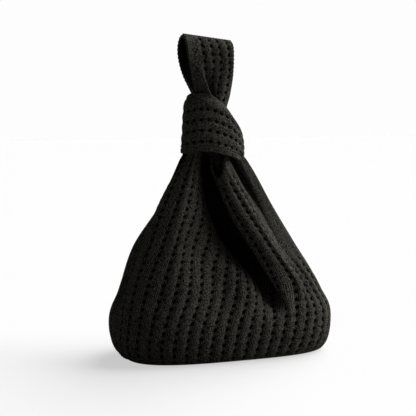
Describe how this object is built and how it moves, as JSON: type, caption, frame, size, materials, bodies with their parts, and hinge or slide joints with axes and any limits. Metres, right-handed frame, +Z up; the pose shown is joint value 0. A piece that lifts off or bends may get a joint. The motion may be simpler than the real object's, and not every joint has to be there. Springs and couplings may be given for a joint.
{
  "type": "japanese knot bag",
  "caption": "Soft knitted pouch bag closed by a knot: a short handle looped round a long handle, which ends in a wrist loop.",
  "frame": {"origin": "centre of the base's underside, on the floor that the bag stands on", "axes": "+Z up through the knot, +X along the pouch's width towards the side of the short handle, -Y towards the front with the wide mouth"},
  "size_m": [0.262, 0.14, 0.3683],
  "materials": {
    "black_knit": "matt charcoal black eyelet knit in a soft cotton yarn",
    "knit_edging": "matt charcoal black plain knit edge and linked seam in the same yarn"
  },
  "bodies": {
    "pouch": {"front_panel": "black_knit", "back_panel": "black_knit", "base_panel": "black_knit", "left_side_seam": "knit_edging", "right_side_seam": "knit_edging", "base_seam": "knit_edging", "front_mouth_edging": "knit_edging", "back_mouth_edging": "knit_edging", "long_handle_front_root": "black_knit", "long_handle_back_root": "black_knit"},
    "wrist_loop": {"loop_front_limb": "black_knit", "loop_back_limb": "black_knit", "loop_top_seam": "knit_edging", "loop_left_edging": "knit_edging", "loop_right_edging": "knit_edging"},
    "knot_band": {"short_handle_front_limb": "black_knit", "short_handle_back_limb": "black_knit", "short_handle_seam": "knit_edging", "short_handle_lower_edging": "knit_edging", "short_handle_upper_edging": "knit_edging"}
  },
  "joints": [
    {"name": "knot_slide", "type": "slide", "parent": "pouch", "child": "knot_band", "axis": [0, 0, 1], "range_m": [0, 0.01]},
    {"name": "loop_fold", "type": "hinge", "parent": "pouch", "child": "wrist_loop", "pos_m": [-0.017, 0, 0.3189], "axis": [1, 0, 0], "range_deg": [-70, 70]}
  ]
}
